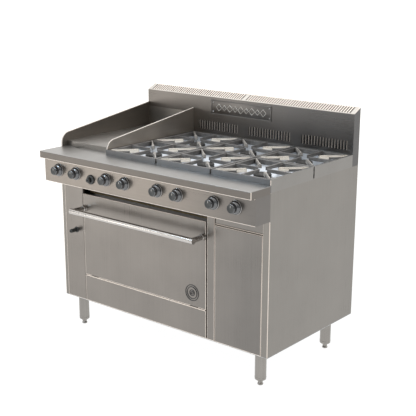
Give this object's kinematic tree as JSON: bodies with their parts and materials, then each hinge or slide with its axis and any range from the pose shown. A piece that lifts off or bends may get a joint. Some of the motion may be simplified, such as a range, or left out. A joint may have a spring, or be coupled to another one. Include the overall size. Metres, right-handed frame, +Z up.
{
  "type": "commercial gas range",
  "caption": "Free-standing stainless steel gas range with an open-burner hob, a griddle between splash guards, one drop-door oven, a rear flue riser and round adjustable legs.",
  "frame": {"origin": "on the floor, under the middle of the overall box", "axes": "+X along the front to the right, +Y to the back, +Z up"},
  "size_m": [1.22, 0.8, 1.12],
  "materials": {
    "stainless_panel": "vertically brushed",
    "stainless_top": "brushed along the width",
    "galvanised": "dull zinc",
    "stainless_tube": "satin",
    "bright_bowl": "bright pressed",
    "cast_trivet": "coated casting",
    "burner_alloy": "as cast",
    "burner_iron": "heat darkened",
    "griddle_steel": "ground plate",
    "pipe_steel": "dull",
    "brass": "machined",
    "knob_black": "glossy",
    "bezel": "polished",
    "oven_enamel": "vitreous enamel",
    "insulation": "mineral wool",
    "chrome_wire": "bright wire",
    "gasket": "matte",
    "emblem": "dark ring"
  },
  "bodies": {
    "cabinet": {"base_frame": "galvanised", "legs": "stainless_tube", "left_side_panel": "stainless_panel", "right_side_panel": "stainless_panel", "back_panel": "galvanised", "left_front_panel": "stainless_panel", "centre_post": "stainless_panel", "service_rail": "stainless_panel", "control_panel": "stainless_panel", "front_ledge": "stainless_top", "hob_surround": "stainless_top", "spill_bowls": "bright_bowl", "burner_heads": "burner_alloy", "burner_caps": "burner_iron", "griddle_guard": "stainless_top", "griddle_plate": "griddle_steel", "gas_manifold": "pipe_steel", "gas_valves": "brass", "igniter_bezels": "bezel", "tube_burners": "burner_iron", "oven_liner": "oven_enamel", "oven_insulation": "insulation", "oven_sole": "oven_enamel", "rack_guides": "chrome_wire", "hinge_brackets": "pipe_steel", "splashback": "stainless_top", "flue_cap": "stainless_top", "name_plate": "stainless_top", "screws": "pipe_steel"},
    "door": {"door_outer": "stainless_panel", "door_inner": "oven_enamel", "door_insulation": "insulation", "door_gasket": "gasket", "door_hinge_pins": "pipe_steel", "door_handle": "stainless_tube", "door_emblem": "emblem"},
    "kick": {"kick_panel": "stainless_panel"},
    "service_door": {"service_panel": "stainless_panel"},
    "tray": {"spill_tray": "galvanised"},
    "rack": {"oven_rack": "chrome_wire"},
    "trivet_front_left": {"trivet_front_left": "cast_trivet"},
    "trivet_front_middle": {"trivet_front_middle": "cast_trivet"},
    "trivet_front_right": {"trivet_front_right": "cast_trivet"},
    "trivet_rear_left": {"trivet_rear_left": "cast_trivet"},
    "trivet_rear_middle": {"trivet_rear_middle": "cast_trivet"},
    "trivet_rear_right": {"trivet_rear_right": "cast_trivet"},
    "knob_1": {"knob_1": "knob_black"},
    "knob_2": {"knob_2": "knob_black"},
    "knob_3": {"knob_3": "knob_black"},
    "knob_4": {"knob_4": "knob_black"},
    "knob_5": {"knob_5": "knob_black"},
    "knob_6": {"knob_6": "knob_black"},
    "knob_7": {"knob_7": "knob_black"},
    "knob_8": {"knob_8": "knob_black"},
    "hob_igniter_button": {"hob_igniter_button": "knob_black"},
    "oven_igniter_button": {"oven_igniter_button": "knob_black"},
    "foot_front_left": {"foot_front_left": "stainless_tube"},
    "foot_front_right": {"foot_front_right": "stainless_tube"},
    "foot_rear_left": {"foot_rear_left": "stainless_tube"},
    "foot_rear_right": {"foot_rear_right": "stainless_tube"}
  },
  "joints": [
    {"name": "door_hinge", "type": "hinge", "parent": "cabinet", "child": "door", "pos_m": [-0.0925, -0.255, 0.298], "axis": [1, 0, 0], "range_deg": [0, 90], "stiffness_Nm_per_rad": 4, "springref_deg": -20.05},
    {"name": "kick_pull", "type": "slide", "parent": "cabinet", "child": "kick", "axis": [0, -1, 0], "range_m": [0, 0.06]},
    {"name": "service_pull", "type": "slide", "parent": "cabinet", "child": "service_door", "axis": [0, -1, 0], "range_m": [0, 0.06]},
    {"name": "tray_slide", "type": "slide", "parent": "cabinet", "child": "tray", "axis": [0, -1, 0], "range_m": [0, 0.4]},
    {"name": "rack_slide", "type": "slide", "parent": "cabinet", "child": "rack", "axis": [0, -1, 0], "range_m": [0, 0.028]},
    {"name": "trivet_front_left_lift", "type": "slide", "parent": "cabinet", "child": "trivet_front_left", "axis": [0, 0, 1], "range_m": [0, 0.06]},
    {"name": "trivet_front_middle_lift", "type": "slide", "parent": "cabinet", "child": "trivet_front_middle", "axis": [0, 0, 1], "range_m": [0, 0.06]},
    {"name": "trivet_front_right_lift", "type": "slide", "parent": "cabinet", "child": "trivet_front_right", "axis": [0, 0, 1], "range_m": [0, 0.06]},
    {"name": "trivet_rear_left_lift", "type": "slide", "parent": "cabinet", "child": "trivet_rear_left", "axis": [0, 0, 1], "range_m": [0, 0.06]},
    {"name": "trivet_rear_middle_lift", "type": "slide", "parent": "cabinet", "child": "trivet_rear_middle", "axis": [0, 0, 1], "range_m": [0, 0.06]},
    {"name": "trivet_rear_right_lift", "type": "slide", "parent": "cabinet", "child": "trivet_rear_right", "axis": [0, 0, 1], "range_m": [0, 0.06]},
    {"name": "knob_1_turn", "type": "hinge", "parent": "cabinet", "child": "knob_1", "pos_m": [-0.5145, -0.38, 0.809], "axis": [0, -1, 0], "range_deg": [0, 270]},
    {"name": "knob_2_turn", "type": "hinge", "parent": "cabinet", "child": "knob_2", "pos_m": [-0.4005, -0.38, 0.809], "axis": [0, -1, 0], "range_deg": [0, 180]},
    {"name": "knob_3_turn", "type": "hinge", "parent": "cabinet", "child": "knob_3", "pos_m": [-0.2095, -0.38, 0.809], "axis": [0, -1, 0], "range_deg": [0, 180]},
    {"name": "knob_4_turn", "type": "hinge", "parent": "cabinet", "child": "knob_4", "pos_m": [-0.0955, -0.38, 0.809], "axis": [0, -1, 0], "range_deg": [0, 180]},
    {"name": "knob_5_turn", "type": "hinge", "parent": "cabinet", "child": "knob_5", "pos_m": [0.0955, -0.38, 0.809], "axis": [0, -1, 0], "range_deg": [0, 180]},
    {"name": "knob_6_turn", "type": "hinge", "parent": "cabinet", "child": "knob_6", "pos_m": [0.2095, -0.38, 0.809], "axis": [0, -1, 0], "range_deg": [0, 180]},
    {"name": "knob_7_turn", "type": "hinge", "parent": "cabinet", "child": "knob_7", "pos_m": [0.4005, -0.38, 0.809], "axis": [0, -1, 0], "range_deg": [0, 180]},
    {"name": "knob_8_turn", "type": "hinge", "parent": "cabinet", "child": "knob_8", "pos_m": [0.5145, -0.38, 0.809], "axis": [0, -1, 0], "range_deg": [0, 180]},
    {"name": "hob_igniter_press", "type": "slide", "parent": "cabinet", "child": "hob_igniter_button", "axis": [0, 1, 0], "range_m": [0, 0.005], "stiffness_N_per_m": 600},
    {"name": "oven_igniter_press", "type": "slide", "parent": "cabinet", "child": "oven_igniter_button", "axis": [0, 1, 0], "range_m": [0, 0.008], "stiffness_N_per_m": 500},
    {"name": "foot_front_left_turn", "type": "hinge", "parent": "cabinet", "child": "foot_front_left", "pos_m": [-0.541, -0.213, 0.03], "axis": [0, 0, 1], "continuous": true},
    {"name": "foot_front_right_turn", "type": "hinge", "parent": "cabinet", "child": "foot_front_right", "pos_m": [0.541, -0.213, 0.03], "axis": [0, 0, 1], "continuous": true},
    {"name": "foot_rear_left_turn", "type": "hinge", "parent": "cabinet", "child": "foot_rear_left", "pos_m": [-0.541, 0.294, 0.03], "axis": [0, 0, 1], "continuous": true},
    {"name": "foot_rear_right_turn", "type": "hinge", "parent": "cabinet", "child": "foot_rear_right", "pos_m": [0.541, 0.294, 0.03], "axis": [0, 0, 1], "continuous": true}
  ]
}
